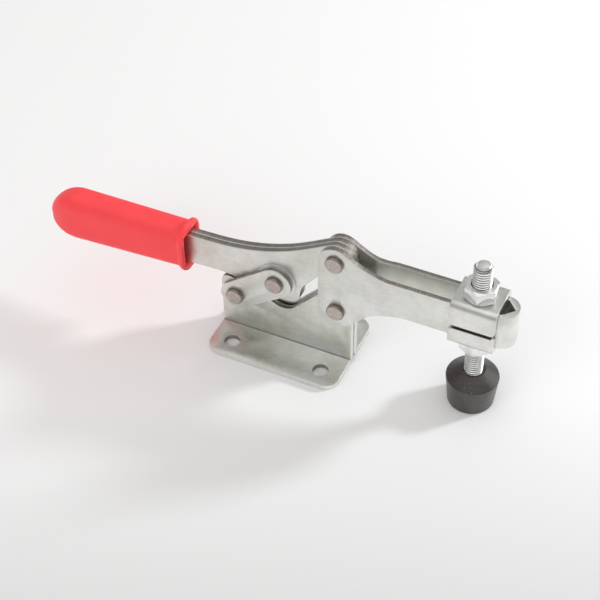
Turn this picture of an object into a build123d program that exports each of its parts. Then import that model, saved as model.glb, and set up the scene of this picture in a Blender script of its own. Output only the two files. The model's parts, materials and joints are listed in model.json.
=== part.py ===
from build123d import *
from math import acos, atan2, cos, degrees, hypot, radians, sin, tan
import os

# A horizontal toggle clamp: flanged base, pair of links, two-plate handle with a grip,
# open U-bar arm, and a height-adjustable spindle with a rubber cap, held by two saddles.
#
# Millimetres, +Z up. The origin is the centre of the four base holes, on the plane that
# the base stands on. +X runs along the arm to its nose. The clamp is locked: the arm is
# down and the links have just passed dead centre. "right" is the -Y side, "left" the +Y.

# ---- Driving dimensions ----

# Base: two L-shaped plates set back to back
base_length = 61.3
base_width = 44.3
base_sheet = 2.5
base_bend = 1.0
web_gap = 1.5
flange_corner = 6.0
hole_spacing_x = 42.4
hole_spacing_y = 28.2
base_hole_d = 7.0
rear_lug_corner = 3.4
rear_slope_x = -15.4
rear_slope_fillet = 4.0
notch_x = 0.1
notch_depth = 6.4
notch_r = 7.5
notch_angle = 47.8
front_lug_rise = 9.3
front_lug_corner = 6.0

# Pivots, in the side view
link_foot_x = -23.2
link_foot_z = 21.9
link_head_x = -4.1
link_head_z = 36.0
handle_pivot_x = 23.7
handle_pivot_z = 58.55
arm_pivot_x = 24.4
arm_pivot_z = 31.65

# Travel of the arm, and how far the links and the handle turn with it
arm_travel = 70.0
link_ratio = 1.4
handle_ratio = 0.6
slot_steps = 20

# Rivets and washers
rivet_d = 5.0
rivet_head_d = 8.0
rivet_head_h = 1.75
rivet_head_chamfer = 0.35
link_washer_d = 18.0
arm_washer_d = 14.0
web_spacer_d = 12.0

# Clearances
play = 0.05
pin_clearance = 0.2
web_clearance = 0.4

# Links
link_sheet = 2.2
link_foot_r = 7.0
link_head_r = 7.6

# Handle plates
plate_sheet = 2.8
handle_end_r = 7.6
neck_angle = 30.0
neck_fillet = 90.0
bar_height = 15.6
bar_tilt = 2.0
bar_front_x = -42.0
bar_front_z = 38.5
bar_rear_x = -105.0
bar_end_x = -28.6
bar_corner = 4.0
bar_end_fillet = 20.0
lobe_rear_x = -6.5
lobe_drop = 10.4
lobe_front = 10.6
lobe_lean = 0.6
lobe_corner = 5.5
lobe_rear_fillet = 8.0
throat_run = 19.0
throat_rise = 9.6
throat_fillet = 12.0
plate_spread = 2.8
spread_start_x = -50.0
spread_length = 12.0
spread_bend = 5.6

# Grip
grip_wall = 1.6
grip_end_wall = 11.0
grip_front_x = -46.3
grip_front_height = 19.6
grip_rear_height = 22.4
grip_edge_r = 4.4
grip_end_length = 14.0
grip_end_half_width = 1.2
grip_end_half_height = 2.4
grip_end_drop = 2.6
dome_sweep = 80.0
dome_steps = 5
lip_side_flare = 1.0
lip_top_flare = 2.5
lip_corner_r = 7.0
lip_length = 1.6
lip_root = 0.4
lip_edge_r = 0.7
mouth_bevel = 0.7
flare_length = 2.6

# Arm: one strip folded round into an open bar
arm_sheet = 2.2
arm_lug_low_r = 8.4
arm_lug_high_r = 7.4
channel_width = 9.0
bar_low_z = 41.0
bar_top_z = 58.0
shoulder_x = 38.5
shoulder_fillet = 24.0
heel_x = 45.5
heel_fillet = 28.0
joggle_start_x = 39.0
joggle_end_x = 47.0
joggle_bend = 6.6
nose_x = 100.9
nose_round = 6.6
nose_inner_x = 99.2
nose_inner_angle = 47.0
nose_inner_r = 0.6
nose_inner_side_r = 1.5

# Saddles: two flanged washers
saddle_sheet = 2.5
saddle_length = 19.3
saddle_bend = 0.4
saddle_side_play = 0.4
upper_flange_depth = 8.8
lower_flange_height = 6.5
saddle_corner = 1.6
saddle_hole_d = 8.8

# Spindle, nuts and cap
spindle_x = 84.5
thread_d = 8.0
spindle_top_z = 77.4
spindle_chamfer = 1.1
nut_flats = 13.0
nut_height = 6.5
nut_face_d = 12.4
nut_turn = 6.0
head_height = 5.3
cap_bottom_z = 0.1
cap_foot_r = 9.85
cap_rim_r = 11.3
cap_side_height = 14.2
cap_cone_height = 3.8
cap_neck_r = 5.2
cap_floor = 5.2
cap_edge_r = 0.8
cap_rim_edge_r = 0.8

# ---- Places worked out from them ----

link_foot = (link_foot_x, link_foot_z)
link_head = (link_head_x, link_head_z)
handle_pivot = (handle_pivot_x, handle_pivot_z)
arm_pivot = (arm_pivot_x, arm_pivot_z)

web_inner = web_gap / 2
web_outer = web_inner + base_sheet
side_inner = web_outer + play
link_outer = side_inner + link_sheet
arm_outer = side_inner + arm_sheet
channel_inner = channel_width / 2
channel_outer = channel_inner + arm_sheet
rivet_r = rivet_d / 2
bored_r = rivet_r + play

# Longer than anything here, for cuts that go right through
BEYOND = 150.0


def heading(angle, length=1.0):
    """A step of a given length at an angle from +X, in degrees, in the side view."""
    return (length * cos(radians(angle)), length * sin(radians(angle)))


def shifted(point, step):
    return (point[0] + step[0], point[1] + step[1])


def crossing(p, p_angle, q, q_angle):
    """Where a line through p meets a line through q, each at its angle in degrees."""
    px, pz = heading(p_angle)
    qx, qz = heading(q_angle)
    along = ((q[0] - p[0]) * qz - (q[1] - p[1]) * qx) / (px * qz - pz * qx)
    return (p[0] + along * px, p[1] + along * pz)


def tangent_point(outside, centre, radius, side):
    """Where a line from a point outside a circle touches it: side is +1 for the touch
    on the left of the way to the centre, and -1 for the one on its right."""
    way_x = centre[0] - outside[0]
    way_z = centre[1] - outside[1]
    spread = degrees(acos(radius / hypot(way_x, way_z)))
    back = degrees(atan2(-way_z, -way_x))
    return shifted(centre, heading(back - side * spread, radius))


def turned(point, centre, angle):
    """A point of the side view turned counter-clockwise, as seen from the right."""
    c = cos(radians(angle))
    s = sin(radians(angle))
    dx = point[0] - centre[0]
    dz = point[1] - centre[1]
    return (centre[0] + c * dx - s * dz, centre[1] + s * dx + c * dz)


def link_pin_in_handle(arm_angle):
    """Where the link's pin lies in the handle, once the arm has turned by an angle."""
    pivot = turned(handle_pivot, arm_pivot, arm_angle)
    pin = turned(link_head, link_foot, link_ratio * arm_angle)
    pin = turned(pin, pivot, handle_ratio * arm_angle)
    return shifted(pin, (handle_pivot[0] - pivot[0], handle_pivot[1] - pivot[1]))


def save(piece, name):
    piece.part.label = name
    export_step(piece.part, f"parts/{name}.step")


def side_layer(inner, side):
    """The plane of a sheet's inner face, looking out to the left or right side."""
    return Plane.XZ.offset(inner) if side < 0 else Plane.XZ.offset(-inner)


def outward(thickness, side):
    """The extrusion that takes a sheet from that plane outwards."""
    return thickness if side < 0 else -thickness


def rings(name, centre, outer_d, bore_r, inner, thickness):
    """A pair of washers, one on each side."""
    for side, word in ((-1, "right"), (1, "left")):
        with BuildPart() as washer:
            with BuildSketch(side_layer(inner, side)):
                with Locations(centre):
                    Circle(outer_d / 2)
                    Circle(bore_r, mode=Mode.SUBTRACT)
            extrude(amount=outward(thickness, side))
        save(washer, f"{name}_{word}")


# ---- Base ----


def web_outline():
    """The base seen from the side: a rear lug, the notch under the handle's lobe, and
    the front lug that carries the arm."""
    lug_rear = (-base_length / 2, lobe_floor(-base_length / 2) - web_clearance)
    lug_front = (rear_slope_x, lobe_floor(rear_slope_x) - web_clearance)
    notch = (notch_x, link_head_z - lobe_drop - notch_depth)
    top = arm_pivot_z + front_lug_rise
    climb = crossing(notch, notch_angle, (0, top), 0)
    front = (base_length / 2, top)
    points = [(-base_length / 2, 0), lug_rear, lug_front, notch, climb, front]
    points.append((base_length / 2, 0))
    # Both corners of the front lug fit side by side on its top
    room = (front[0] - climb[0]) / (1 + tan(radians(notch_angle / 2))) - play
    lug_corner = min(front_lug_corner, room)
    radii = [0, rear_lug_corner, rear_slope_fillet, notch_r, lug_corner, lug_corner, 0]
    return points, radii


def bar_bottom(x):
    """Height of the handle bar's lower edge."""
    half = bar_height / 2 / cos(radians(bar_tilt))
    return bar_front_z - half + tan(radians(bar_tilt)) * (x - bar_front_x)


def bar_top(x):
    """Height of the handle bar's upper edge."""
    return bar_bottom(x) + bar_height / cos(radians(bar_tilt))


def lobe_floor(x):
    """Height of the handle's lower edge between the bar and the lobe."""
    lobe_bottom = link_head_z - lobe_drop
    share = (x - bar_end_x) / (lobe_rear_x - bar_end_x)
    return bar_bottom(bar_end_x) + (lobe_bottom - bar_bottom(bar_end_x)) * max(0, share)


def base_plate(side, word):
    with BuildPart() as plate:
        with BuildSketch(Plane.YZ.offset(-base_length / 2)) as section:
            with BuildLine():
                FilletPolyline(
                    (side * web_inner, BEYOND),
                    (side * web_inner, 0),
                    (side * base_width / 2, 0),
                    (side * base_width / 2, base_sheet),
                    (side * web_outer, base_sheet),
                    (side * web_outer, BEYOND),
                    radius=[base_bend + base_sheet, 0, 0, base_bend],
                )
                Line((side * web_outer, BEYOND), (side * web_inner, BEYOND))
            make_face()
        extrude(amount=base_length)
        with BuildSketch(Plane.XZ):
            points, radii = web_outline()
            with BuildLine():
                FilletPolyline(*points, radius=radii, close=True)
            make_face()
        extrude(amount=base_width, both=True, mode=Mode.INTERSECT)
        with BuildSketch():
            RectangleRounded(base_length, base_width, flange_corner)
        extrude(amount=BEYOND, mode=Mode.INTERSECT)
        with BuildSketch():
            with GridLocations(hole_spacing_x, hole_spacing_y, 2, 2):
                Circle(base_hole_d / 2)
        extrude(amount=base_sheet, mode=Mode.SUBTRACT)
        with BuildSketch(Plane.XZ):
            with Locations(link_foot, arm_pivot):
                Circle(bored_r)
        extrude(amount=base_width, both=True, mode=Mode.SUBTRACT)
    save(plate, f"base_plate_{word}")


def web_spacer(name, centre):
    with BuildPart() as spacer:
        with BuildSketch(Plane.XZ):
            with Locations(centre):
                Circle(web_spacer_d / 2)
                Circle(bored_r, mode=Mode.SUBTRACT)
        extrude(amount=web_inner, both=True)
    save(spacer, name)


# ---- Rivets ----


def rivet(name, centre, seat):
    """A rivet with a flat, chamfered head closed down on each side, seat out from the
    middle."""
    with BuildPart() as pin:
        with BuildSketch(Plane.XZ):
            with Locations(centre):
                Circle(rivet_r)
        extrude(amount=seat + play, both=True)
        for side in (-1, 1):
            with BuildSketch(side_layer(seat + play, side)):
                with Locations(centre):
                    Circle(rivet_head_d / 2)
            extrude(amount=outward(rivet_head_h, side))
        rims = pin.edges().filter_by(GeomType.CIRCLE).sort_by(Axis.Y)
        chamfer([rims[0], rims[-1]], rivet_head_chamfer)
    save(pin, name)


# ---- Links ----


def link(side, word):
    with BuildPart() as plate:
        with BuildSketch(side_layer(side_inner, side)):
            with Locations(link_foot):
                Circle(link_foot_r)
            with Locations(link_head):
                Circle(link_head_r)
            make_hull()
            with Locations(link_foot, link_head):
                Circle(bored_r, mode=Mode.SUBTRACT)
        extrude(amount=outward(link_sheet, side))
    save(plate, f"link_{word}")


# ---- Handle ----


def handle_outline():
    """One handle plate from the side: a bar for the grip, a neck that rises to the
    arm's pivot, and a lobe that hangs down round the link's pivot."""
    rear_low = (bar_rear_x, bar_bottom(bar_rear_x))
    rear_top = (bar_rear_x, bar_top(bar_rear_x))
    neck = shifted(handle_pivot, heading(neck_angle + 90, handle_end_r))
    bend = crossing((bar_front_x, bar_top(bar_front_x)), bar_tilt, neck, neck_angle)
    throat = shifted(link_head, (throat_run, throat_rise))
    chin = tangent_point(throat, handle_pivot, handle_end_r, -1)
    lobe_bottom = link_head_z - lobe_drop
    cheek = shifted(link_head, (lobe_front + lobe_lean, 0))
    corner = (link_head_x + lobe_front - lobe_lean, lobe_bottom)
    heel = (lobe_rear_x, lobe_bottom)
    start = (bar_end_x, bar_bottom(bar_end_x))
    points = [rear_low, rear_top, bend, neck, handle_pivot, chin, throat, cheek]
    points += [corner, heel, start]
    radii = [bar_corner, bar_corner, neck_fillet, 0, 0, 0, throat_fillet, throat_fillet]
    radii += [lobe_corner, lobe_rear_fillet, bar_end_fillet]
    return points, radii


def pin_slot():
    """The clearance hole that the link's pin needs in the handle over the arm's travel."""
    for step in range(slot_steps + 1):
        with Locations(link_pin_in_handle(arm_travel * step / slot_steps)):
            Circle(rivet_r + pin_clearance)
    make_hull()


def handle_plate(side, word):
    spread_end_x = spread_start_x - spread_length
    middle = side * plate_sheet / 2
    with BuildPart() as plate:
        with BuildSketch() as strip:
            with BuildLine() as path:
                FilletPolyline(
                    (handle_pivot_x + 2 * handle_end_r, middle),
                    (spread_start_x, middle),
                    (spread_end_x, middle + side * plate_spread),
                    (bar_rear_x - plate_sheet, middle + side * plate_spread),
                    radius=spread_bend,
                )
            trace(path.line, plate_sheet)
        extrude(amount=BEYOND)
        with BuildSketch(Plane.XZ):
            points, radii = handle_outline()
            with BuildLine():
                FilletPolyline(*points, radius=radii, close=True)
            make_face()
            with Locations(handle_pivot):
                Circle(handle_end_r)
        extrude(amount=BEYOND, both=True, mode=Mode.INTERSECT)
        with BuildSketch(Plane.XZ):
            pin_slot()
        extrude(amount=BEYOND, both=True, mode=Mode.SUBTRACT)
        with BuildSketch(Plane.XZ):
            with Locations(handle_pivot):
                Circle(bored_r)
        extrude(amount=BEYOND, both=True, mode=Mode.SUBTRACT)
    save(plate, f"handle_plate_{word}")


def grip_section(x, half_width, half_height, corner_r, drop=0):
    """A rounded section across the grip, centred on the handle bar or a little below."""
    with BuildSketch(Plane.YZ.offset(x)) as section:
        with Locations((0, (bar_bottom(x) + bar_top(x)) / 2 - drop)):
            RectangleRounded(2 * half_width, 2 * half_height, corner_r)
    return section.sketch


def grip():
    """A moulded sleeve with a domed rear end and a flared mouth."""
    half_inner = plate_spread + plate_sheet + play
    half_width = half_inner + grip_wall
    rear_x = bar_rear_x - grip_end_wall
    dome_x = rear_x + grip_end_length
    lip_x = grip_front_x - lip_length
    front_half = grip_front_height / 2
    rear_half = grip_rear_height / 2
    with BuildPart() as sleeve:
        mouth_section = grip_section(lip_x, half_width, front_half, grip_edge_r)
        dome_section = grip_section(dome_x, half_width, rear_half, grip_edge_r)
        loft([mouth_section, dome_section])
        # The rear end closes in a dome, an arc of an ellipse in both views
        dome = [dome_section]
        for step in range(1, dome_steps + 1):
            angle = radians(dome_sweep * step / dome_steps)
            width = grip_end_half_width + (half_width - grip_end_half_width) * cos(angle)
            height = grip_end_half_height + (rear_half - grip_end_half_height) * cos(angle)
            corner_r = min(grip_edge_r, width - play, height - play)
            x = dome_x - grip_end_length * sin(angle)
            drop = grip_end_drop * (1 - cos(angle))
            dome.append(grip_section(x, width, height, corner_r, drop))
        loft(dome)
        # The mouth flares out to a lip
        root_x = lip_x - flare_length
        root_width = half_width - lip_root
        root_half = front_half - lip_root
        root = grip_section(root_x, root_width, root_half, grip_edge_r - lip_root)
        lip_width = half_width + lip_side_flare
        lip = grip_section(lip_x, lip_width, front_half + lip_top_flare, lip_corner_r)
        loft([root, lip])
        extrude(lip, amount=lip_length)
        front = sleeve.faces().sort_by(Axis.X)[-1]
        fillet(front.edges(), lip_edge_r)
        # The pocket for the handle plates
        with BuildSketch(Plane.XZ):
            with BuildLine():
                Polyline(
                    (BEYOND, bar_bottom(BEYOND) - play),
                    (BEYOND, bar_top(BEYOND) + play),
                    (bar_rear_x - play, bar_top(bar_rear_x) + play),
                    (bar_rear_x - play, bar_bottom(bar_rear_x) - play),
                    close=True,
                )
            make_face()
        extrude(amount=half_inner, both=True, mode=Mode.SUBTRACT)
        mouth = sleeve.faces().sort_by(Axis.X)[-1].inner_wires()[0]
        chamfer(mouth.edges(), mouth_bevel)
    save(sleeve, "handle_grip")


# ---- Arm ----


def arm_outline():
    """The arm from the side: two lugs at the rear, sloping down to a straight bar."""
    shoulder = (shoulder_x, bar_top_z)
    heel = (heel_x, bar_low_z)
    upper = tangent_point(shoulder, handle_pivot, arm_lug_high_r, -1)
    lower = tangent_point(heel, arm_pivot, arm_lug_low_r, 1)
    points = [handle_pivot, upper, shoulder, (BEYOND, bar_top_z)]
    points += [(BEYOND, bar_low_z), heel, lower, arm_pivot]
    return points, [0, 0, shoulder_fillet, 0, 0, heel_fillet, 0, 0]


def strip_face(lug_y, nose, nose_radii):
    """One face of the folded strip from above: one side, round the nose and back."""
    rear_x = arm_pivot_x - 2 * arm_lug_low_r
    side = [(rear_x, lug_y), (joggle_start_x, lug_y), (joggle_end_x, nose[0][1])]
    back = [(x, -y) for x, y in reversed(side)]
    bends = [0, joggle_bend, joggle_bend]
    return side + nose + back, bends + nose_radii + bends[::-1]


def arm():
    # The nose is round outside, and comes to a corner inside
    outer_nose = [(nose_x, channel_outer), (nose_x, -channel_outer)]
    outer, outer_radii = strip_face(arm_outer, outer_nose, [nose_round, nose_round])
    turn_x = nose_inner_x - channel_inner / tan(radians(nose_inner_angle))
    inner_nose = [(turn_x, channel_inner), (nose_inner_x, 0), (turn_x, -channel_inner)]
    inner_nose_radii = [nose_inner_side_r, nose_inner_r, nose_inner_side_r]
    inner, inner_radii = strip_face(side_inner, inner_nose, inner_nose_radii)
    with BuildPart() as bar:
        with BuildSketch():
            with BuildLine():
                FilletPolyline(*outer, radius=outer_radii, close=True)
            make_face()
            with BuildLine():
                FilletPolyline(*inner, radius=inner_radii, close=True)
            make_face(mode=Mode.SUBTRACT)
        extrude(amount=BEYOND)
        with BuildSketch(Plane.XZ):
            with Locations(handle_pivot):
                Circle(arm_lug_high_r)
            with Locations(arm_pivot):
                Circle(arm_lug_low_r)
            make_hull()
            points, radii = arm_outline()
            with BuildLine():
                FilletPolyline(*points, radius=radii, close=True)
            make_face()
        extrude(amount=BEYOND, both=True, mode=Mode.INTERSECT)
        with BuildSketch(Plane.XZ):
            with Locations(handle_pivot, arm_pivot):
                Circle(bored_r)
        extrude(amount=BEYOND, both=True, mode=Mode.SUBTRACT)
    save(bar, "clamp_arm")


# ---- Saddles, nuts, spindle and cap ----


def saddle(name, seat_z, turn, flange):
    """A flanged washer: a plate across the arm, with a side folded over each wall.
    turn is +1 for the upper one and -1 for the lower one."""
    inner = channel_outer + saddle_side_play
    outer = inner + saddle_sheet
    face_z = seat_z + turn * play
    back_z = face_z + turn * saddle_sheet
    edge_z = face_z - turn * flange
    with BuildPart() as clip:
        with BuildSketch(Plane.YZ.offset(spindle_x - saddle_length / 2)):
            with BuildLine():
                FilletPolyline(
                    (-outer, edge_z),
                    (-outer, back_z),
                    (outer, back_z),
                    (outer, edge_z),
                    (inner, edge_z),
                    (inner, face_z),
                    (-inner, face_z),
                    (-inner, edge_z),
                    radius=[0, saddle_bend + saddle_sheet, saddle_bend + saddle_sheet, 0]
                    + [0, saddle_bend, saddle_bend, 0],
                    close=True,
                )
            make_face()
        extrude(amount=saddle_length)
        ends = clip.edges().filter_by(Axis.Y)
        corners = ends.filter_by_position(Axis.Z, edge_z - play, edge_z + play)
        fillet(corners, saddle_corner)
        with Locations((spindle_x, 0, face_z)):
            Hole(saddle_hole_d / 2)
    save(clip, name)


def nut(name, low_z):
    with BuildPart() as hexagon:
        with BuildSketch(Plane.XY.offset(low_z)):
            with Locations((spindle_x, 0)):
                RegularPolygon(nut_flats / 2, 6, major_radius=False, rotation=nut_turn)
                Circle(thread_d / 2 + play, mode=Mode.SUBTRACT)
        extrude(amount=nut_height)
        corner_r = nut_flats / 2 / cos(radians(30))
        drop = (corner_r - nut_face_d / 2) * tan(radians(30))
        with BuildSketch(Plane.XZ):
            with BuildLine():
                Polyline(
                    (spindle_x, low_z),
                    (spindle_x + nut_face_d / 2, low_z),
                    (spindle_x + corner_r, low_z + drop),
                    (spindle_x + corner_r, low_z + nut_height - drop),
                    (spindle_x + nut_face_d / 2, low_z + nut_height),
                    (spindle_x, low_z + nut_height),
                    close=True,
                )
            make_face()
        revolve(axis=Axis((spindle_x, 0, 0), (0, 0, 1)), mode=Mode.INTERSECT)
    save(hexagon, name)


def spindle():
    """A hexagon-headed bolt, head down."""
    head_z = cap_bottom_z + cap_floor
    with BuildPart() as bolt:
        with BuildSketch(Plane.XY.offset(head_z)):
            with Locations((spindle_x, 0)):
                RegularPolygon(nut_flats / 2, 6, major_radius=False)
        extrude(amount=head_height)
        with BuildSketch(Plane.XY.offset(head_z)):
            with Locations((spindle_x, 0)):
                Circle(thread_d / 2)
        extrude(amount=spindle_top_z - head_z)
        chamfer(bolt.edges().sort_by(Axis.Z)[-1], spindle_chamfer)
    save(bolt, "spindle_bolt")


def cap():
    """A rubber cap, moulded with a pocket that snaps over the bolt's head."""
    head_z = cap_bottom_z + cap_floor
    rim_z = cap_bottom_z + cap_side_height
    with BuildPart() as rubber:
        with BuildSketch(Plane.XZ):
            with BuildLine():
                FilletPolyline(
                    (spindle_x, cap_bottom_z),
                    (spindle_x + cap_foot_r, cap_bottom_z),
                    (spindle_x + cap_rim_r, rim_z),
                    (spindle_x + cap_neck_r, rim_z + cap_cone_height),
                    (spindle_x, rim_z + cap_cone_height),
                    radius=[0, cap_edge_r, cap_rim_edge_r, cap_rim_edge_r, 0],
                    close=True,
                )
            make_face()
        revolve(axis=Axis((spindle_x, 0, 0), (0, 0, 1)))
        with BuildSketch(Plane.XY.offset(head_z - play)):
            with Locations((spindle_x, 0)):
                RegularPolygon(nut_flats / 2 + play, 6, major_radius=False)
        extrude(amount=head_height + 2 * play, mode=Mode.SUBTRACT)
        with BuildSketch(Plane.XY.offset(head_z)):
            with Locations((spindle_x, 0)):
                Circle(thread_d / 2 + play)
        extrude(amount=BEYOND, mode=Mode.SUBTRACT)
    save(rubber, "rubber_cap")


def build():
    os.makedirs("parts", exist_ok=True)
    for side, word in ((-1, "right"), (1, "left")):
        base_plate(side, word)
        link(side, word)
        handle_plate(side, word)
    web_spacer("base_spacer_rear", link_foot)
    web_spacer("base_spacer_front", arm_pivot)
    rivet("base_link_rivet", link_foot, link_outer)
    rivet("link_handle_rivet", link_head, link_outer)
    rivet("handle_arm_rivet", handle_pivot, arm_outer)
    rivet("arm_base_rivet", arm_pivot, arm_outer)
    washer_inner = plate_sheet + play
    washer_sheet = side_inner - washer_inner
    rings("link_washer", link_head, link_washer_d, bored_r, washer_inner, washer_sheet)
    rings("arm_washer", handle_pivot, arm_washer_d, bored_r, washer_inner, washer_sheet)
    grip()
    arm()
    saddle("upper_saddle", bar_top_z, 1, upper_flange_depth)
    saddle("lower_saddle", bar_low_z, -1, lower_flange_height)
    stack = saddle_sheet + 2 * play
    nut("top_nut", bar_top_z + stack)
    nut("bottom_nut", bar_low_z - stack - nut_height)
    spindle()
    cap()


build()
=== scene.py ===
"""Toggle clamp: finishes for the sheet parts, rivets, nuts, threaded spindle, grip and cap,
and a pale studio floor to show the clamp on."""

import json
from math import ceil, cos, hypot, pi, radians, sin, tan, tau

import bmesh
import bpy
from bpy.props import FloatProperty, FloatVectorProperty, IntProperty, PointerProperty
from bpy.types import Operator, Panel, PropertyGroup
from mathutils import Matrix, Vector


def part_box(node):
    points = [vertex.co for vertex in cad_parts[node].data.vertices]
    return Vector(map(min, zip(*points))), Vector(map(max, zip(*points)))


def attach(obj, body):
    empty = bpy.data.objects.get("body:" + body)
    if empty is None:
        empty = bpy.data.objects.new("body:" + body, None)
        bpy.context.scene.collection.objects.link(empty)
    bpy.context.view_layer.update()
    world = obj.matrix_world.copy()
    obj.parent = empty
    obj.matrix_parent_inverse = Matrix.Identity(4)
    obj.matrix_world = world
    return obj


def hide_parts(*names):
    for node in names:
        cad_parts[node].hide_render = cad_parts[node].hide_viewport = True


bl_info = {
    "name": "Toggle Clamp",
    "version": (1, 0, 0),
    "blender": (4, 5, 0),
    "location": "View3D > Sidebar > Toggle Clamp",
    "description": "Finishes a toggle clamp and sets it on a studio floor",
    "category": "Object",
}

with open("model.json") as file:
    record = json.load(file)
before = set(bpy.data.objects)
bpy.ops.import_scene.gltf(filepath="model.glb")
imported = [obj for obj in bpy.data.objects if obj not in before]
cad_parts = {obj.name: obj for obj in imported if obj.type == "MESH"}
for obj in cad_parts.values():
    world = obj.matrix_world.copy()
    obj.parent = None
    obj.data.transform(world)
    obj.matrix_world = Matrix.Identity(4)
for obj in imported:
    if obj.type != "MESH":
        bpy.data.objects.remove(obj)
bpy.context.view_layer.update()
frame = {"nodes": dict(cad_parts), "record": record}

MM = 0.001
WHITE = (1.0, 1.0, 1.0)

# Places in a sheet part's list of materials.
PLATE, DARK_EDGE, PALE_EDGE = range(3)
# Places of the sockets that a mix node has for colours: three inputs and the output.
MIX_FACTOR, MIX_FIRST, MIX_SECOND, MIX_RESULT = 0, 6, 7, 2

# A face looks along an axis when that part of its normal is over this.
FACING = 0.7
# Where the arm's edges turn from dark to pale, and where its lugs end.
NOSE_X = 94.5 * MM
LUG_X = 39.0 * MM

# The nuts and the spindle's head: from the axis to a flat, and from one corner to the next.
HEX_FLAT = 6.5 * MM
HEX_TURN = tau / 6
# A 60 degree thread: its depth as a share of its pitch, and the lean of its flanks.
THREAD_DEPTH = 0.6134
THREAD_FLANK = radians(30)

# The face of a rivet head from its rim inwards: share of its radius, depth of the groove.
RIVET_FACE = (
    (0.80, 0.0),
    (0.72, 0.0),
    (0.69, 0.05 * MM),
    (0.65, 0.05 * MM),
    (0.61, 0.0),
    (0.40, 0.0),
    (0.22, 0.0),
    (0.14, 0.06 * MM),
    (0.05, 0.07 * MM),
)


# ---------------------------------------------------------------------------------------
# Settings
# ---------------------------------------------------------------------------------------


def colour_setting(name, description, default):
    return FloatVectorProperty(
        name=name,
        description=description,
        subtype="COLOR",
        size=3,
        min=0.0,
        max=1.0,
        default=default,
    )


def length_setting(name, description, default):
    return FloatProperty(
        name=name,
        description=description,
        subtype="DISTANCE",
        unit="LENGTH",
        min=0.0,
        default=default,
        precision=5,
    )


def angle_setting(name, description, default):
    return FloatProperty(
        name=name,
        description=description,
        subtype="ANGLE",
        unit="ROTATION",
        default=radians(default),
    )


class ClampFinishes(PropertyGroup):
    """Colours of the clamp's finishes"""

    zinc: colour_setting("Zinc", "Bright zinc plate on the sheet parts", (0.93, 0.925, 0.91))
    zinc_tint: colour_setting(
        "Zinc Tint", "Clouds of thinner plate on the sheet parts", (0.80, 0.80, 0.77)
    )
    base_tint: colour_setting(
        "Base Tint", "Clouds of thinner plate on the base", (0.80, 0.81, 0.75)
    )
    # The dark edge colour also paints the shade in the base's bend.
    dark_edge: colour_setting("Dark Edge", "Bare sheared edges of the sheet", (0.40, 0.365, 0.34))
    pale_edge: colour_setting("Pale Edge", "Plated sheared edges", (0.84, 0.83, 0.81))
    rivet: colour_setting("Rivet", "Heads of the rivets", (0.67, 0.59, 0.54))
    bolt: colour_setting("Bolt", "Spindle and nuts", (0.95, 0.95, 0.94))
    grip: colour_setting("Grip", "Moulded vinyl of the grip", (0.98, 0.062, 0.072))
    rubber: colour_setting("Rubber", "Moulded rubber of the cap", (0.021, 0.0145, 0.0125))


class ClampSizes(PropertyGroup):
    """Sizes of the details that the finish adds"""

    sheet_edge: length_setting("Sheet Edge", "Rounding of a stamped sheet's edges", 0.28 * MM)
    rivet_edge: length_setting("Rivet Edge", "Rounding of a rivet head's rim", 0.62 * MM)
    cap_edge: length_setting("Cap Edge", "Rounding of the cap's rims", 0.45 * MM)
    rivet_crown: length_setting("Rivet Crown", "Height of a rivet head's crown", 0.18 * MM)
    thread_pitch: length_setting("Thread Pitch", "Pitch of the spindle's thread", 1.25 * MM)
    thread_diameter: length_setting("Thread", "Outer diameter of the thread", 7.96 * MM)
    tip_chamfer: length_setting("Tip Chamfer", "Chamfer at the spindle's top", 1.65 * MM)
    nut_edge: length_setting("Nut Edge", "Rounding of a nut's corners", 0.18 * MM)
    thread_segments: IntProperty(
        name="Thread Segments",
        description="Steps round one turn of the thread",
        default=40,
        min=12,
        max=96,
    )


class ClampStage(PropertyGroup):
    """Camera, lights and floor"""

    azimuth: angle_setting("Azimuth", "Camera's angle round the clamp", 25.573)
    elevation: angle_setting("Elevation", "Camera's angle above the floor", 44.752)
    roll: angle_setting("Roll", "Camera's turn about its own axis", -0.90)
    distance: length_setting("Distance", "From the camera to its target", 628.07 * MM)
    focal: FloatProperty(
        name="Focal Length",
        description="Camera's focal length",
        subtype="DISTANCE_CAMERA",
        unit="CAMERA",
        default=88.04,
        min=10.0,
    )
    target: FloatVectorProperty(
        name="Target",
        description="Point that the camera looks at",
        subtype="TRANSLATION",
        unit="LENGTH",
        size=3,
        default=(5.25 * MM, 0.0, 25.585 * MM),
    )
    key_power: FloatProperty(
        name="Key Power", description="Power of the key lamp", unit="POWER", default=8.0
    )
    key_colour: colour_setting("Key Colour", "Colour of the key lamp", (0.95, 0.99, 1.0))
    key_size: length_setting("Key Size", "Width of the key lamp", 0.17)
    sheen_power: FloatProperty(
        name="Sheen Power",
        description="Power of the lamp that only shiny surfaces show",
        unit="POWER",
        default=3.4,
    )
    sheen_size: length_setting("Sheen Size", "Width of the sheen lamp", 0.9)
    key_azimuth: angle_setting("Key Azimuth", "Key lamp's angle from the nose's side", 40.9)
    key_elevation: angle_setting("Key Elevation", "Key lamp's angle above the floor", 26.3)
    fill_power: FloatProperty(
        name="Fill Power", description="Power of the fill lamp", unit="POWER", default=4.4
    )
    fill_size: length_setting("Fill Size", "Width of the fill lamp", 1.0)
    fill_azimuth: angle_setting("Fill Azimuth", "Fill lamp's angle from the nose's side", -105.0)
    fill_elevation: angle_setting("Fill Elevation", "Fill lamp's angle above the floor", 35.0)
    floor: colour_setting("Floor", "Colour of the floor", (0.85, 0.85, 0.855))


# ---------------------------------------------------------------------------------------
# Shader nodes
# ---------------------------------------------------------------------------------------


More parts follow.
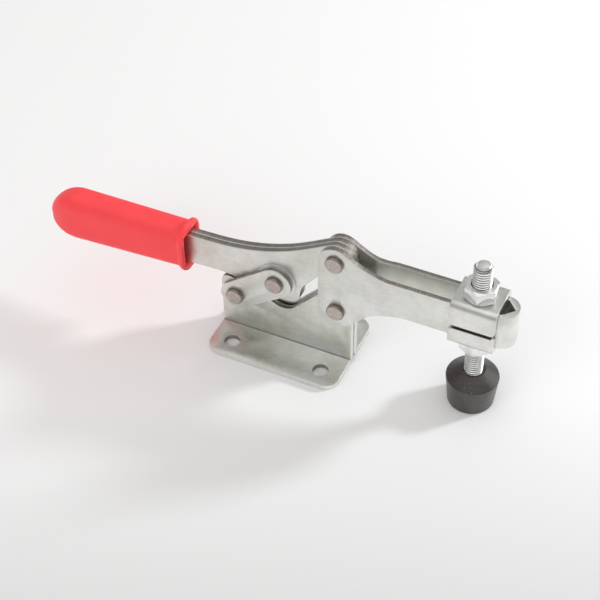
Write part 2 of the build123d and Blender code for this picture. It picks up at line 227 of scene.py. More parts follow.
def mix_node(tree, first, second, factor=1.0, blend="MIX"):
    """Two colours mixed. Each of the three values is a socket or a plain value."""
    node = tree.nodes.new("ShaderNodeMix")
    node.data_type = "RGBA"
    node.blend_type = blend
    values = {MIX_FACTOR: factor, MIX_FIRST: first, MIX_SECOND: second}
    for place, value in values.items():
        if isinstance(value, bpy.types.NodeSocket):
            tree.links.new(value, node.inputs[place])
        elif isinstance(value, float):
            node.inputs[place].default_value = value
        else:
            node.inputs[place].default_value = (*value, 1.0)
    return node.outputs[MIX_RESULT]


class Shading:
    """A new material's node tree, with short calls for the nodes that the finishes share."""

    def __init__(self, name):
        self.material = bpy.data.materials.new(name)
        self.material.use_nodes = True
        self.nodes = self.material.node_tree.nodes
        self.links = self.material.node_tree.links
        self.shader = self.nodes["Principled BSDF"]
        self.place = self.nodes.new("ShaderNodeTexCoord").outputs["Object"]

    def set(self, **values):
        """Values that are the same all over the surface, by the shader's socket names."""
        for name, value in values.items():
            self.shader.inputs[name.replace("_", " ")].default_value = value

    def link(self, source, socket):
        """A value that varies over the surface, into the shader's socket."""
        self.links.new(source, self.shader.inputs[socket])

    def stretched(self, scale):
        """The place on the piece, scaled by axis."""
        node = self.nodes.new("ShaderNodeMapping")
        node.inputs["Scale"].default_value = scale
        self.links.new(self.place, node.inputs["Vector"])
        return node.outputs["Vector"]

    def radius(self):
        """Distance from the piece's own Z axis."""
        node = self.nodes.new("ShaderNodeVectorMath")
        node.operation = "LENGTH"
        self.links.new(self.stretched((1.0, 1.0, 0.0)), node.inputs[0])
        return node.outputs["Value"]

    def noise(self, scale, detail=3.0, roughness=0.5, vector=None):
        """Soft noise, by the place on the piece unless another vector is given."""
        node = self.nodes.new("ShaderNodeTexNoise")
        node.inputs["Scale"].default_value = scale
        node.inputs["Detail"].default_value = detail
        node.inputs["Roughness"].default_value = roughness
        self.links.new(vector or self.place, node.inputs["Vector"])
        return node.outputs["Fac"]

    def ramp(self, source, low, high, at=(0.35, 0.65)):
        """A blend from one colour to another between two values of the source."""
        node = self.nodes.new("ShaderNodeValToRGB")
        for stop, place, colour in zip(node.color_ramp.elements, at, (low, high)):
            stop.position = place
            stop.color = (*colour, 1.0)
        self.links.new(source, node.inputs["Fac"])
        return node.outputs["Color"]

    def mapped(self, source, low, high, at=(0.3, 0.7)):
        """A number that follows the source."""
        node = self.nodes.new("ShaderNodeMapRange")
        node.inputs["From Min"].default_value = at[0]
        node.inputs["From Max"].default_value = at[1]
        node.inputs["To Min"].default_value = low
        node.inputs["To Max"].default_value = high
        self.links.new(source, node.inputs["Value"])
        return node.outputs["Result"]

    def multiplied(self, colour, tint):
        """The colour darkened by a tint."""
        return mix_node(self.material.node_tree, colour, tint, blend="MULTIPLY")

    def added(self, colour, light):
        """The colour made paler by another."""
        return mix_node(self.material.node_tree, colour, light, blend="ADD")

    def bump(self, source, strength, distance, normal=None):
        """Relief from the source, on top of another relief where one is given."""
        node = self.nodes.new("ShaderNodeBump")
        node.inputs["Strength"].default_value = strength
        node.inputs["Distance"].default_value = distance
        self.links.new(source, node.inputs["Height"])
        if normal is not None:
            self.links.new(normal, node.inputs["Normal"])
        return node.outputs["Normal"]


def finishes():
    """The colours in the sidebar."""
    return bpy.context.scene.clamp_finishes


def sizes():
    """The sizes in the sidebar."""
    return bpy.context.scene.clamp_sizes


def toned(colour, share):
    """The colour with its brightness multiplied."""
    return tuple(channel * share for channel in colour)


def thread_radii():
    """The thread's crest and its root."""
    crest = sizes().thread_diameter / 2
    return crest, crest - THREAD_DEPTH * sizes().thread_pitch


def made_once(*makers):
    """The materials of some finishes, each named for its function and shared by the pieces."""
    return [bpy.data.materials.get(make.__name__) or make(make.__name__) for make in makers]


def zinc(name, tint, speckle):
    """Bright zinc on rolled sheet: soft clouds, faint straw and mint tints, a rolled grain
    along the sheet, scuffs and fine pits."""
    shading = Shading(name)
    clouds = shading.noise(70.0, detail=5.0, roughness=0.62)
    colour = shading.ramp(clouds, tint, tuple(finishes().zinc), at=(0.36, 0.58))
    straw, mint = (1.0, 0.985, 0.95), (0.975, 1.0, 0.985)
    colour = shading.multiplied(colour, shading.ramp(shading.noise(130.0, detail=2.0), straw, mint))
    along = shading.stretched((260.0, 2400.0, 2400.0))
    grain = shading.noise(1.0, roughness=0.6, vector=along)
    scuffs = shading.noise(380.0, detail=5.0, roughness=0.7)
    for marks in (grain, scuffs):
        marked = shading.ramp(marks, toned(WHITE, 1.0 - speckle), WHITE)
        colour = shading.multiplied(colour, marked)
    shading.link(colour, "Base Color")
    shading.set(Metallic=1.0)
    shading.link(shading.mapped(shading.noise(210.0, detail=4.0), 0.30, 0.44), "Roughness")
    pits = shading.bump(shading.noise(900.0), strength=0.14, distance=0.05 * MM)
    relief = shading.bump(grain, strength=0.07, distance=0.05 * MM, normal=pits)
    shading.link(relief, "Normal")
    return shading.material


def zinc_plate(name):
    """The zinc of the links, handle, arm, washers, spacers and saddles."""
    return zinc(name, tuple(finishes().zinc_tint), speckle=0.06)


def base_plate(name):
    """The base's zinc, with deeper clouds and more handling marks."""
    return zinc(name, tuple(finishes().base_tint), speckle=0.09)


def sheared(name, edge, line_tone, relief):
    """A sheared edge, with fine lines across the sheet."""
    shading = Shading(name)
    across = shading.stretched((1500.0, 120.0, 1500.0))
    lines = shading.noise(1.0, roughness=0.6, vector=across)
    colour = shading.ramp(lines, toned(edge, line_tone), edge, at=(0.35, 0.6))
    shading.link(colour, "Base Color")
    shading.set(Metallic=1.0)
    shading.link(shading.mapped(lines, 0.46, 0.34), "Roughness")
    shading.link(shading.bump(lines, strength=relief, distance=0.08 * MM), "Normal")
    return shading.material


def dark_edge(name):
    """A bare sheared edge; the same material paints the shade in the base's bend."""
    return sheared(name, tuple(finishes().dark_edge), line_tone=0.70, relief=0.22)


def pale_edge(name):
    """A plated sheared edge."""
    return sheared(name, tuple(finishes().pale_edge), line_tone=0.92, relief=0.08)


def rivet_finish(name):
    """A formed rivet head: brownish grey, faintly ringed about its own middle, with painted shade
    that darkens its rim.
    """
    shading = Shading(name)
    rivet = tuple(finishes().rivet)
    clouds = shading.noise(420.0, detail=4.0, roughness=0.6)
    colour = shading.ramp(clouds, toned(rivet, 0.74), rivet)
    # Painted shade: the head's rounded rim darkens to about half of the head's colour.
    rim_start, rim_end = 3.25 * MM, 3.85 * MM
    rim = shading.mapped(shading.radius(), 0.0, 1.0, at=(rim_start, rim_end))
    painted_rim_shade = shading.ramp(rim, WHITE, toned(WHITE, 0.55), at=(0.0, 1.0))
    shading.link(shading.multiplied(colour, painted_rim_shade), "Base Color")
    shading.set(Metallic=1.0)
    shading.link(shading.mapped(clouds, 0.30, 0.44), "Roughness")
    outwards = shading.nodes.new("ShaderNodeCombineXYZ")
    shading.links.new(shading.radius(), outwards.inputs["X"])
    rings = shading.noise(1500.0, detail=2.0, roughness=0.6, vector=outwards.outputs["Vector"])
    pits = shading.bump(shading.noise(1400.0), strength=0.16, distance=0.06 * MM)
    relief = shading.bump(rings, strength=0.45, distance=0.10 * MM, normal=pits)
    shading.link(relief, "Normal")
    return shading.material


def bolt_finish(name):
    """Bright zinc on turned and rolled steel."""
    shading = Shading(name)
    bolt = tuple(finishes().bolt)
    shading.link(shading.ramp(shading.noise(300.0), toned(bolt, 0.88), bolt), "Base Color")
    shading.set(Metallic=0.85)
    shading.link(shading.mapped(shading.noise(700.0), 0.13, 0.24), "Roughness")
    skin = shading.noise(1600.0, detail=2.0)
    shading.link(shading.bump(skin, strength=0.05, distance=0.05 * MM), "Normal")
    return shading.material


def thread_finish(name):
    """The same bright zinc, dull down in the thread's roots, with painted shade that darkens them.
    """
    shading = Shading(name)
    bolt = tuple(finishes().bolt)
    crest, root = thread_radii()
    dull_end, bright_start = root + 0.1 * MM, crest - 0.15 * MM
    shallow = shading.mapped(shading.radius(), 0.0, 1.0, at=(dull_end, bright_start))
    # Painted shade: the colour falls to about a fifth of the bolt's down in the thread's roots.
    colour = shading.ramp(shallow, toned(bolt, 0.22), bolt, at=(0.15, 0.75))
    clouds = shading.ramp(shading.noise(500.0), toned(WHITE, 0.9), WHITE)
    shading.link(shading.multiplied(colour, clouds), "Base Color")
    shading.set(Metallic=1.0)
    shading.link(shading.mapped(shallow, 0.42, 0.20, at=(0.0, 1.0)), "Roughness")
    skin = shading.noise(1600.0, detail=2.0)
    shading.link(shading.bump(skin, strength=0.05, distance=0.05 * MM), "Normal")
    return shading.material


def grip_finish(name):
    """Moulded vinyl: soft satin with a fine skin and faint handling marks."""
    shading = Shading(name)
    grip = tuple(finishes().grip)
    clouds = shading.noise(70.0, detail=4.0, roughness=0.6)
    shading.link(shading.ramp(clouds, toned(grip, 0.93), grip), "Base Color")
    shading.set(Subsurface_Weight=0.08, Subsurface_Scale=2.0 * MM, Specular_IOR_Level=0.4)
    along = shading.stretched((120.0, 600.0, 600.0))
    marks = shading.noise(1.0, roughness=0.55, vector=along)
    shading.link(shading.mapped(marks, 0.38, 0.50), "Roughness")
    skin = shading.bump(shading.noise(1100.0, detail=2.0), strength=0.10, distance=0.08 * MM)
    waves = shading.noise(160.0, detail=2.0)
    relief = shading.bump(waves, strength=0.08, distance=0.25 * MM, normal=skin)
    shading.link(relief, "Normal")
    return shading.material


def rubber_finish(name):
    """Moulded rubber: near black, with a soft sheen and specks of dust."""
    shading = Shading(name)
    rubber = tuple(finishes().rubber)
    clouds = shading.noise(210.0, detail=5.0, roughness=0.65)
    colour = shading.ramp(clouds, toned(rubber, 0.5), toned(rubber, 1.7))
    around = shading.stretched((60.0, 60.0, 900.0))
    rings = shading.noise(1.0, roughness=0.6, vector=around)
    colour = shading.multiplied(colour, shading.ramp(rings, toned(WHITE, 0.6), WHITE))
    clean, dusty = (0.0, 0.0, 0.0), (0.30, 0.27, 0.25)
    dust = shading.noise(1500.0, detail=1.0, roughness=0.6)
    specks = shading.ramp(dust, clean, dusty, at=(0.71, 0.77))
    shading.link(shading.added(colour, specks), "Base Color")
    shading.set(Specular_IOR_Level=0.85, Coat_Weight=0.30, Coat_Roughness=0.36)
    shading.link(shading.mapped(clouds, 0.30, 0.52), "Roughness")
    relief = shading.bump(clouds, strength=0.25, distance=0.25 * MM)
    relief = shading.bump(rings, strength=0.16, distance=0.15 * MM, normal=relief)
    skin = shading.noise(1300.0)
    relief = shading.bump(skin, strength=0.14, distance=0.08 * MM, normal=relief)
    shading.link(relief, "Normal")
    return shading.material


# ---------------------------------------------------------------------------------------
# Meshes
# ---------------------------------------------------------------------------------------


def show(mesh, name, node, place=Matrix.Identity(4)):
    """A finished piece in place of a CAD node, riding on its body."""
    mesh.name = name
    piece = bpy.data.objects.new(name, mesh)
    piece.matrix_world = place
    bpy.context.scene.collection.objects.link(piece)
    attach(piece, body_of(node))
    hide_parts(node)


def body_of(node):
    """The body in the frame's record that a CAD node belongs to."""
    return next(
        body for body, members in frame["record"]["behaviour"]["bodies"].items() if node in members
    )


def rounded(node, edge, materials, face_kind=None, split_x=None):
    """A copy of a node with its flats joined up and its sharp edges rounded over.
    face_kind gives the place in the materials of a face, from its centre and normal.
    The flats are parted at split_x, where one finish meets another."""
    same_place = 0.001 * MM
    same_flat = radians(0.6)
    sharp = radians(40)
    shape = bmesh.new()
    shape.from_mesh(frame["nodes"][node].data)
    bmesh.ops.remove_doubles(shape, verts=shape.verts, dist=same_place)
    bmesh.ops.dissolve_limit(
        shape,
        angle_limit=same_flat,
        verts=shape.verts,
        edges=shape.edges,
        delimit={"NORMAL"},
    )
    if split_x is not None:
        bmesh.ops.bisect_plane(
            shape,
            geom=shape.verts[:] + shape.edges[:] + shape.faces[:],
            plane_co=(split_x, 0, 0),
            plane_no=(1, 0, 0),
        )
    if face_kind is not None:
        for face in shape.faces:
            face.material_index = face_kind(face.calc_center_median(), face.normal)
    mesh = bpy.data.meshes.new(f"{node}_rounded")
    shape.to_mesh(mesh)
    shape.free()
    mesh.shade_smooth()
    for material in materials:
        mesh.materials.append(material)
    carrier = bpy.data.objects.new(mesh.name, mesh)
    bpy.context.scene.collection.objects.link(carrier)
    bevel = carrier.modifiers.new("edges", "BEVEL")
    bevel.width = edge
    bevel.segments = 3
    bevel.limit_method = "ANGLE"
    bevel.angle_limit = sharp
    bevel.material = PLATE
    bevel.harden_normals = True
    graph = bpy.context.evaluated_depsgraph_get()
    finished = bpy.data.meshes.new_from_object(carrier.evaluated_get(graph))
    bpy.data.objects.remove(carrier)
    bpy.data.meshes.remove(mesh)
    return finished


def plated_sheet(node, face_kind, plate=zinc_plate, split_x=None):
    """A stamped sheet part with its zinc and its sheared edges."""
    finish = made_once(plate, dark_edge, pale_edge)
    mesh = rounded(node, sizes().sheet_edge, finish, face_kind, split_x)
    show(mesh, f"{node}_plated", node)


def point(shape, radius, angle, height):
    """A new corner, from its distance and angle about Z and its height."""
    return shape.verts.new((radius * cos(angle), radius * sin(angle), height))


def band(shape, low, high):
    """Faces all round between two rings of corners."""
    for step in range(len(low)):
        after = (step + 1) % len(low)
        shape.faces.new((low[step], low[after], high[after], high[step]))


def closed(shape, rings):
    """Faces over the lowest ring and the highest."""
    shape.faces.new(list(reversed(rings[0])))
    shape.faces.new(rings[-1])


def turned(profile, segments):
    """A surface turned about Z from (radius, height) points, and its rings of corners.
    A radius may be a function of the angle, and so may a height."""
    shape = bmesh.new()
    rings = []
    for radius, height in profile:
        ring = []
        for step in range(segments):
            angle = tau * step / segments
            r = radius(angle) if callable(radius) else radius
            z = height(angle) if callable(height) else height
            ring.append(point(shape, r, angle, z))
        rings.append(ring)
    for low, high in zip(rings, rings[1:]):
        band(shape, low, high)
    return shape, rings


def to_mesh(shape, materials, crisp):
    """The finished mesh, smooth but for the edges that turn by more than the crisp angle."""
    mesh = bpy.data.meshes.new("shape")
    bmesh.ops.recalc_face_normals(shape, faces=shape.faces)
    shape.to_mesh(mesh)
    shape.free()
    for material in materials:
        mesh.materials.append(material)
    mesh.shade_smooth()
    mesh.set_sharp_from_angle(angle=crisp)
    return mesh


# ---------------------------------------------------------------------------------------
# Which faces of each sheet were sheared, and where the base's bend gets painted shade
# ---------------------------------------------------------------------------------------


def side_view_plate(centre, normal):
    """A plate that stands in the side view: every face that doesn't look sideways."""
    return DARK_EDGE if abs(normal.y) < FACING else PLATE


def base_sheet(centre, normal):
    """The L-shaped base plates: their rim, ends and holes, the web's top, and painted shade in the
    bend.
    """
    low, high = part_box("base_plate_left")
    sheet = 2.5 * MM
    web = 3.25 * MM
    bend = 0.55 * MM
    holes_y, holes_inset = 18.5 * MM, 5.0 * MM
    slack = 0.01 * MM
    side = abs(centre.y)
    inset = min(high.x - centre.x, centre.x - low.x)
    in_web = side < web + slack
    if in_web and centre.z > 2 * sheet and abs(normal.y) < FACING:
        return DARK_EDGE if normal.z > 0.3 else PALE_EDGE
    # Painted shade: the faces inside the bend take the dark edge's colour.
    painted_bend_shade = web < side < web + bend and sheet < centre.z < sheet + bend
    if painted_bend_shade and abs(normal.x) < 0.3:
        return DARK_EDGE
    if side > web + sheet and abs(normal.z) < 0.5:
        return DARK_EDGE if side < holes_y and inset > holes_inset else PALE_EDGE
    return PALE_EDGE if abs(normal.x) > 0.9 else PLATE


def strip(centre, normal):
    """The folded arm: the two long edges and the lugs' rounded ends, pale at the nose."""
    if abs(normal.z) > FACING:
        return PALE_EDGE if centre.x > NOSE_X else DARK_EDGE
    if centre.x < LUG_X and abs(normal.y) < FACING:
        return DARK_EDGE
    return PLATE


def saddle(centre, normal):
    """The saddles: their two ends, and the flanges' free edges."""
    slack = 0.05 * MM
    free_edges = (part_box("upper_saddle")[0].z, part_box("lower_saddle")[1].z)
    if min(abs(centre.z - z) for z in free_edges) < slack:
        return DARK_EDGE
    return PALE_EDGE if abs(normal.x) > FACING else PLATE


# ---------------------------------------------------------------------------------------
# Operators
# ---------------------------------------------------------------------------------------


class CLAMP_OT_base(Operator):
    """Plate the two base sheets and their spacers"""

    bl_idname = "clamp.base"
    bl_label = "Base"

    def execute(self, context):
        for node in ("base_plate_right", "base_plate_left"):
            plated_sheet(node, base_sheet, base_plate)
        for node in ("base_spacer_rear", "base_spacer_front"):
            plated_sheet(node, side_view_plate)
        return {"FINISHED"}


class CLAMP_OT_links(Operator):
    """Plate the links, their washers and the arm's washers"""

    bl_idname = "clamp.links"
    bl_label = "Links"

    def execute(self, context):
        for side in ("right", "left"):
            plated_sheet(f"link_{side}", side_view_plate)
            plated_sheet(f"link_washer_{side}", side_view_plate)
            plated_sheet(f"arm_washer_{side}", side_view_plate)
        return {"FINISHED"}


class CLAMP_OT_handle(Operator):
    """Plate the two sheets of the handle"""

    bl_idname = "clamp.handle"
    bl_label = "Handle"

    def execute(self, context):
        for side in ("right", "left"):
            plated_sheet(f"handle_plate_{side}", side_view_plate)
        return {"FINISHED"}


class CLAMP_OT_arm(Operator):
    """Plate the folded arm"""

    bl_idname = "clamp.arm"
    bl_label = "Arm"

    def execute(self, context):
        plated_sheet("clamp_arm", strip, split_x=NOSE_X)
        return {"FINISHED"}


class CLAMP_OT_saddles(Operator):
    """Plate the two flanged washers on the arm"""

    bl_idname = "clamp.saddles"
    bl_label = "Saddles"

    def execute(self, context):
        for node in ("upper_saddle", "lower_saddle"):
            plated_sheet(node, saddle)
        return {"FINISHED"}


class CLAMP_OT_rivets(Operator):
    """Form the rivets' heads"""

    bl_idname = "clamp.rivets"
    bl_label = "Rivets"

    def execute(self, context):
        nodes = ("base_link_rivet", "arm_base_rivet", "link_handle_rivet", "handle_arm_rivet")
        for node in nodes:
            low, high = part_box(node)
            upper = self.upper_half((high.x - low.x) / 2, (high.y - low.y) / 2)
            lower = [(radius, -height) for radius, height in reversed(upper[1:])]
            shape, rings = turned(lower + upper, segments=64)
            closed(shape, rings)
            mesh = to_mesh(shape, made_once(rivet_finish), crisp=radians(40))
            place = Matrix.Translation((low + high) / 2) @ Matrix.Rotation(pi / 2, 4, "X")
            show(mesh, f"{node}_formed", node, place)
        return {"FINISHED"}

    def upper_half(self, head_r, half):
        """(radius, height) points from the middle of the shank to the middle of a head's face."""
        shank_r = 2.5 * MM
        seat = half - 1.75 * MM
        seat_inset, seat_edge = 0.1 * MM, 0.15 * MM
        edge = sizes().rivet_edge
        edge_turn, edge_steps = 75, 4
        crown = sizes().rivet_crown
        # The crown's top stays just inside the CAD part.
        inside = 0.999
        rim = half - crown
        points = [
            (shank_r, 0.0),
            (shank_r, seat),
            (head_r - seat_inset, seat),
            (head_r, seat + seat_edge),
        ]
        for step in range(edge_steps + 1):
            angle = radians(edge_turn * step / edge_steps)
            points.append((head_r - edge + edge * cos(angle), rim - edge + edge * sin(angle)))
        for share, groove in RIVET_FACE:
            rise = crown * (1 - share**2) * inside
            points.append((head_r * share, rim + rise - groove))
        return points


class CLAMP_OT_nuts(Operator):
    """Cut the two hexagon nuts, chamfered and countersunk"""

    bl_idname = "clamp.nuts"
    bl_label = "Nuts"

    def execute(self, context):
        tightened = radians(6)
        turn = Matrix.Rotation(tightened, 4, "Z")
        for node in ("top_nut", "bottom_nut"):
            low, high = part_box(node)
            place = Matrix.Translation((low + high) / 2) @ turn
            show(self.nut_mesh((high.z - low.z) / 2), f"{node}_cut", node, place)
        return {"FINISHED"}

    def nut_mesh(self, half):
        """A nut about its own middle, from half of its thickness."""
        face_r = 6.1 * MM
        face_inset, face_drop = 0.3 * MM, 0.03 * MM
        bore_r = sizes().thread_diameter / 2 + 0.04 * MM
        sink = 0.55 * MM
        edge = sizes().nut_edge
        eased = 0.3 * edge
        slope = tan(radians(30))
        lift = edge * slope * 0.4

        def hexagon(angle):
            """Distance to the hexagon's side, with its corners eased."""
            off = (angle + HEX_TURN / 2) % HEX_TURN - HEX_TURN / 2
            corner = HEX_FLAT / cos(HEX_TURN / 2)
            return min(HEX_FLAT / cos(off), corner - edge)

        def shoulder(angle):
            """Height where the cone that chamfers the corners meets the side."""
            return half - max(0.0, hexagon(angle) - face_r) * slope

        upper = [
            (bore_r, 0.0),
            (bore_r, half - sink),
            (bore_r + sink, half),
            (face_r - face_inset, half),
            (face_r, half - face_drop),
            (lambda a: hexagon(a) - edge, lambda a: shoulder(a) + lift),
            (lambda a: hexagon(a) - eased, lambda a: shoulder(a) - eased),
            (hexagon, lambda a: shoulder(a) - edge),
        ]
        lower = [
            (r, (lambda a, z=z: -z(a)) if callable(z) else -z) for r, z in reversed(upper[1:])
        ]
        shape, rings = turned(upper + lower, segments=120)
        band(shape, rings[-1], rings[0])
        return to_mesh(shape, made_once(bolt_finish), crisp=radians(28))


class CLAMP_OT_spindle(Operator):
    """Cut the spindle's thread, chamfer its top and finish its head"""

    bl_idname = "clamp.spindle"
    bl_label = "Spindle"

    def execute(self, context):
        # Places in the finish for the thread, the smooth faces inside it and the tip's flat.
        thread, smooth, tip = range(3)
        head_height = 5.3 * MM
        sunk = 0.1 * MM
        low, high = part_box("spindle_bolt")
        axis = ((low.x + high.x) / 2, (low.y + high.y) / 2)
        head_top = low.z + head_height
        shape = self.thread(head_top, high.z)
        self.trim(shape, head_top - sunk, high.z)
        self.add_head(shape, low.z, head_top)
        _, root = thread_radii()
        for face in shape.faces:
            centre = face.calc_center_median()
            if centre.z > high.z - 0.01 * MM:
                face.material_index = tip
            elif hypot(centre.x, centre.y) < root - 0.03 * MM:
                face.material_index = smooth
            else:
                face.material_index = thread
        finish = made_once(thread_finish, bolt_finish, pale_edge)
        mesh = to_mesh(shape, finish, crisp=radians(50))
        show(mesh, "spindle_threaded", "spindle_bolt", Matrix.Translation((*axis, 0.0)))
        return {"FINISHED"}

    def thread(self, low, high):
        """A right-hand helix from one pitch below low to past high, with its top in a cone.
        Each turn has a root, a rising flank, a crest and a falling flank."""
        pitch = sizes().thread_pitch
        crest_r, root_r = thread_radii()
        flank = THREAD_DEPTH * pitch * tan(THREAD_FLANK)
        crest = pitch / 8
        tip_r = crest_r + 0.1 * MM - sizes().tip_chamfer
        least_r = 0.2 * MM
        steps = sizes().thread_segments
        tooth = [
            (0.0, root_r),
            (pitch - 2 * flank - crest, root_r),
            (pitch - flank - crest, crest_r),
            (pitch - flank, crest_r),
        ]
        turns = ceil((high - low) / pitch) + 2
        shape = bmesh.new()
        grid = []
        for step in range(turns * steps + 1):
            angle = tau * step / steps
            rise = low - pitch + pitch * step / steps
            row = []
            for offset, radius in tooth:
                z = rise + offset
                cone = tip_r + max(0.0, high - z)
                row.append(point(shape, max(least_r, min(radius, cone)), angle, z))
            grid.append(row)
        for step in range(turns * steps):
            here, after = grid[step], grid[step + 1]
            for k in range(len(tooth) - 1):
                shape.faces.new((here[k], after[k], after[k + 1], here[k + 1]))
            if step + 1 + steps < len(grid):
                above, beyond = grid[step + steps], grid[step + steps + 1]
                shape.faces.new((here[-1], after[-1], beyond[0], above[0]))
        return shape

    def trim(self, shape, low, high):
        """The thread cut flat at both ends, and closed there."""
        for height, way in ((high, 1), (low, -1)):
            cut = bmesh.ops.bisect_plane(
                shape,
                geom=shape.verts[:] + shape.edges[:] + shape.faces[:],
                plane_co=(0, 0, height),
                plane_no=(0, 0, way),
                clear_outer=True,
            )
            rim = [e for e in cut["geom_cut"] if isinstance(e, bmesh.types.BMEdge)]
            bmesh.ops.holes_fill(shape, edges=rim, sides=0)

    def add_head(self, shape, low, high):
        """The plain hexagon head, which the cap hides."""
        corner = HEX_FLAT / cos(HEX_TURN / 2)
        rings = [
            [point(shape, corner, HEX_TURN * (k + 0.5), height) for k in range(6)]
            for height in (low, high)
        ]
        closed(shape, rings)
        band(shape, *rings)


class CLAMP_OT_grip(Operator):
    """Give the grip its moulded vinyl"""

    bl_idname = "clamp.grip"
    bl_label = "Grip"

    def execute(self, context):
        (vinyl,) = made_once(grip_finish)
        materials = frame["nodes"]["handle_grip"].data.materials
        materials.clear()
        materials.append(vinyl)
        return {"FINISHED"}


class CLAMP_OT_cap(Operator):
    """Give the cap its moulded rubber"""

    bl_idname = "clamp.cap"
    bl_label = "Cap"

    def execute(self, context):
        mesh = rounded("rubber_cap", sizes().cap_edge, made_once(rubber_finish))
        show(mesh, "rubber_cap_moulded", "rubber_cap")
        return {"FINISHED"}


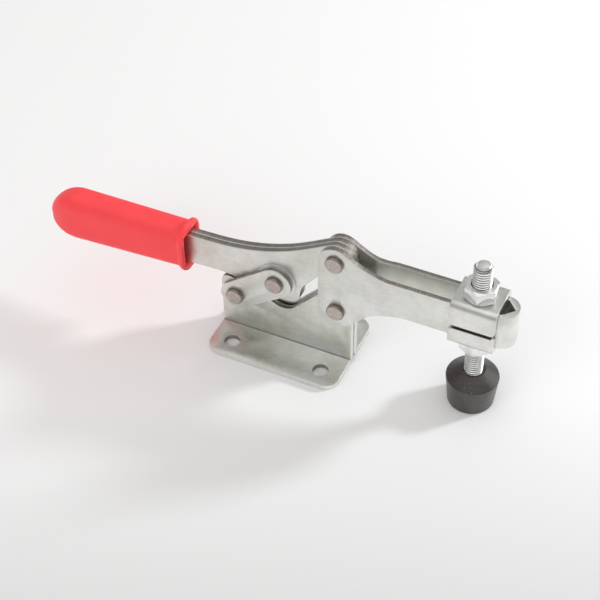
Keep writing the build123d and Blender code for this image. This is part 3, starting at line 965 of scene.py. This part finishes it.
class CLAMP_OT_stage(Operator):
    """Set the camera, the lamps, the surroundings and the floor"""

    bl_idname = "clamp.stage"
    bl_label = "Stage"

    def execute(self, context):
        context.scene.view_settings.view_transform = "Standard"
        self.set_camera(context)
        self.set_lamps(context)
        self.set_surroundings(context)
        self.set_floor(context)
        return {"FINISHED"}

    def set_camera(self, context):
        """A camera that looks at the target, turned about its own axis by the roll."""
        stage = context.scene.clamp_stage
        forward = Vector(
            (
                -sin(stage.azimuth) * cos(stage.elevation),
                cos(stage.azimuth) * cos(stage.elevation),
                -sin(stage.elevation),
            )
        )
        right = Vector((cos(stage.azimuth), sin(stage.azimuth), 0.0))
        up = right.cross(forward)
        c, s = cos(stage.roll), sin(stage.roll)
        rolled_right = c * right + s * up
        rolled_up = c * up - s * right
        data = bpy.data.cameras.new("camera")
        data.lens = stage.focal
        data.sensor_width = 36.0
        data.clip_start = 0.01
        camera = bpy.data.objects.new("camera", data)
        turn = Matrix((rolled_right, rolled_up, -forward)).transposed().to_4x4()
        place = Vector(stage.target) - stage.distance * forward
        camera.matrix_world = Matrix.Translation(place) @ turn
        context.scene.collection.objects.link(camera)
        context.scene.camera = camera

    def set_lamps(self, context):
        """A small key lamp behind the nose, in line with a wide one that only shiny surfaces
        show, and a wide fill lamp on the camera's side that they don't show."""
        stage = context.scene.clamp_stage
        key_away, fill_away = 1.2, 1.5
        for name, side, away, shiny in (
            ("key", "key", key_away, False),
            ("sheen", "key", key_away, True),
            ("fill", "fill", fill_away, False),
        ):
            azimuth = getattr(stage, f"{side}_azimuth")
            elevation = getattr(stage, f"{side}_elevation")
            way = Vector(
                (cos(azimuth) * cos(elevation), sin(azimuth) * cos(elevation), sin(elevation))
            )
            data = bpy.data.lights.new(name, "AREA")
            data.energy = getattr(stage, f"{name}_power")
            data.color = stage.key_colour if name == "key" else WHITE
            data.shape = "DISK"
            data.size = getattr(stage, f"{name}_size")
            lamp = bpy.data.objects.new(name, data)
            lamp.visible_glossy = shiny
            lamp.visible_diffuse = not shiny
            turn = way.to_track_quat("Z", "Y").to_matrix().to_4x4()
            lamp.matrix_world = Matrix.Translation(away * way) @ turn
            context.scene.collection.objects.link(lamp)

    def set_surroundings(self, context):
        """An even pale light. Shiny surfaces mirror a dim room with a bright ceiling, and the
        camera sees a plain near white."""
        even_light, backdrop = (0.787, 0.777, 0.764), (0.95, 0.95, 0.95)
        # The mirrored room's grey at heights from the horizon, 0, to straight up, 1.
        stops = ((0.0, 0.42), (0.10, 0.34), (0.50, 0.40), (0.76, 0.46), (0.90, 1.0))
        world = bpy.data.worlds.new("room")
        world.use_nodes = True
        context.scene.world = world
        nodes, links = world.node_tree.nodes, world.node_tree.links
        place = nodes.new("ShaderNodeTexCoord")
        height = nodes.new("ShaderNodeSeparateXYZ")
        links.new(place.outputs["Generated"], height.inputs["Vector"])
        room = nodes.new("ShaderNodeValToRGB")
        for _ in stops[2:]:
            room.color_ramp.elements.new(1.0)
        for stop, (position, grey) in zip(room.color_ramp.elements, stops):
            stop.position = position
            stop.color = (grey, grey, grey, 1.0)
        links.new(height.outputs["Z"], room.inputs["Fac"])
        ray = nodes.new("ShaderNodeLightPath").outputs
        lit = mix_node(world.node_tree, even_light, room.outputs["Color"], ray["Is Glossy Ray"])
        seen = mix_node(world.node_tree, lit, backdrop, ray["Is Camera Ray"])
        background = nodes["Background"]
        links.new(seen, background.inputs["Color"])
        background.inputs["Strength"].default_value = 1.0

    def set_floor(self, context):
        """A pale sheet of paper under the clamp, with painted shade that darkens it towards the
        camera.
        """
        half = 3.0
        z = -0.02 * MM
        to_camera = (0.43, -0.90, 0.0)
        falloff_start, falloff_end = 0.04, 0.16
        mesh = bpy.data.meshes.new("floor")
        mesh.from_pydata(
            [(-half, -half, z), (half, -half, z), (half, half, z), (-half, half, z)],
            [],
            [(0, 1, 2, 3)],
        )
        floor = bpy.data.objects.new("floor", mesh)
        context.scene.collection.objects.link(floor)
        shading = Shading("floor_paper")
        pale = tuple(context.scene.clamp_stage.floor)
        near = shading.nodes.new("ShaderNodeVectorMath")
        near.operation = "DOT_PRODUCT"
        near.inputs[1].default_value = to_camera
        shading.links.new(shading.place, near.inputs[0])
        # Painted shade: the floor's colour falls to about three quarters towards the camera.
        painted_floor_shade = shading.mapped(
            near.outputs["Value"], 0.0, 1.0, at=(falloff_start, falloff_end)
        )
        shading.link(shading.ramp(painted_floor_shade, pale, toned(pale, 0.76), at=(0.0, 1.0)), "Base Color")
        shading.set(Roughness=0.8, Specular_IOR_Level=0.1)
        mesh.materials.append(shading.material)


class CLAMP_PT_sidebar(Panel):
    """The clamp's pieces and settings"""

    bl_label = "Toggle Clamp"
    bl_idname = "CLAMP_PT_sidebar"
    bl_space_type = "VIEW_3D"
    bl_region_type = "UI"
    bl_category = "Toggle Clamp"

    def draw(self, context):
        for operator in OPERATORS:
            self.layout.operator(operator.bl_idname)
        for name in GROUPS:
            box = self.layout.box()
            group = getattr(context.scene, name)
            for key in group.bl_rna.properties.keys():
                if key not in ("rna_type", "name"):
                    box.prop(group, key)


OPERATORS = (
    CLAMP_OT_base,
    CLAMP_OT_links,
    CLAMP_OT_handle,
    CLAMP_OT_arm,
    CLAMP_OT_saddles,
    CLAMP_OT_rivets,
    CLAMP_OT_nuts,
    CLAMP_OT_spindle,
    CLAMP_OT_grip,
    CLAMP_OT_cap,
    CLAMP_OT_stage,
)
GROUPS = {
    "clamp_finishes": ClampFinishes,
    "clamp_sizes": ClampSizes,
    "clamp_stage": ClampStage,
}
CLASSES = (*GROUPS.values(), *OPERATORS, CLAMP_PT_sidebar)


def register():
    for item in CLASSES:
        bpy.utils.register_class(item)
    for name, group in GROUPS.items():
        setattr(bpy.types.Scene, name, PointerProperty(type=group))


def unregister():
    for name in GROUPS:
        delattr(bpy.types.Scene, name)
    for item in reversed(CLASSES):
        bpy.utils.unregister_class(item)


def main():
    register()
    for operator in OPERATORS:
        group, name = operator.bl_idname.split(".")
        getattr(getattr(bpy.ops, group), name)()


if __name__ == "__main__":
    main()
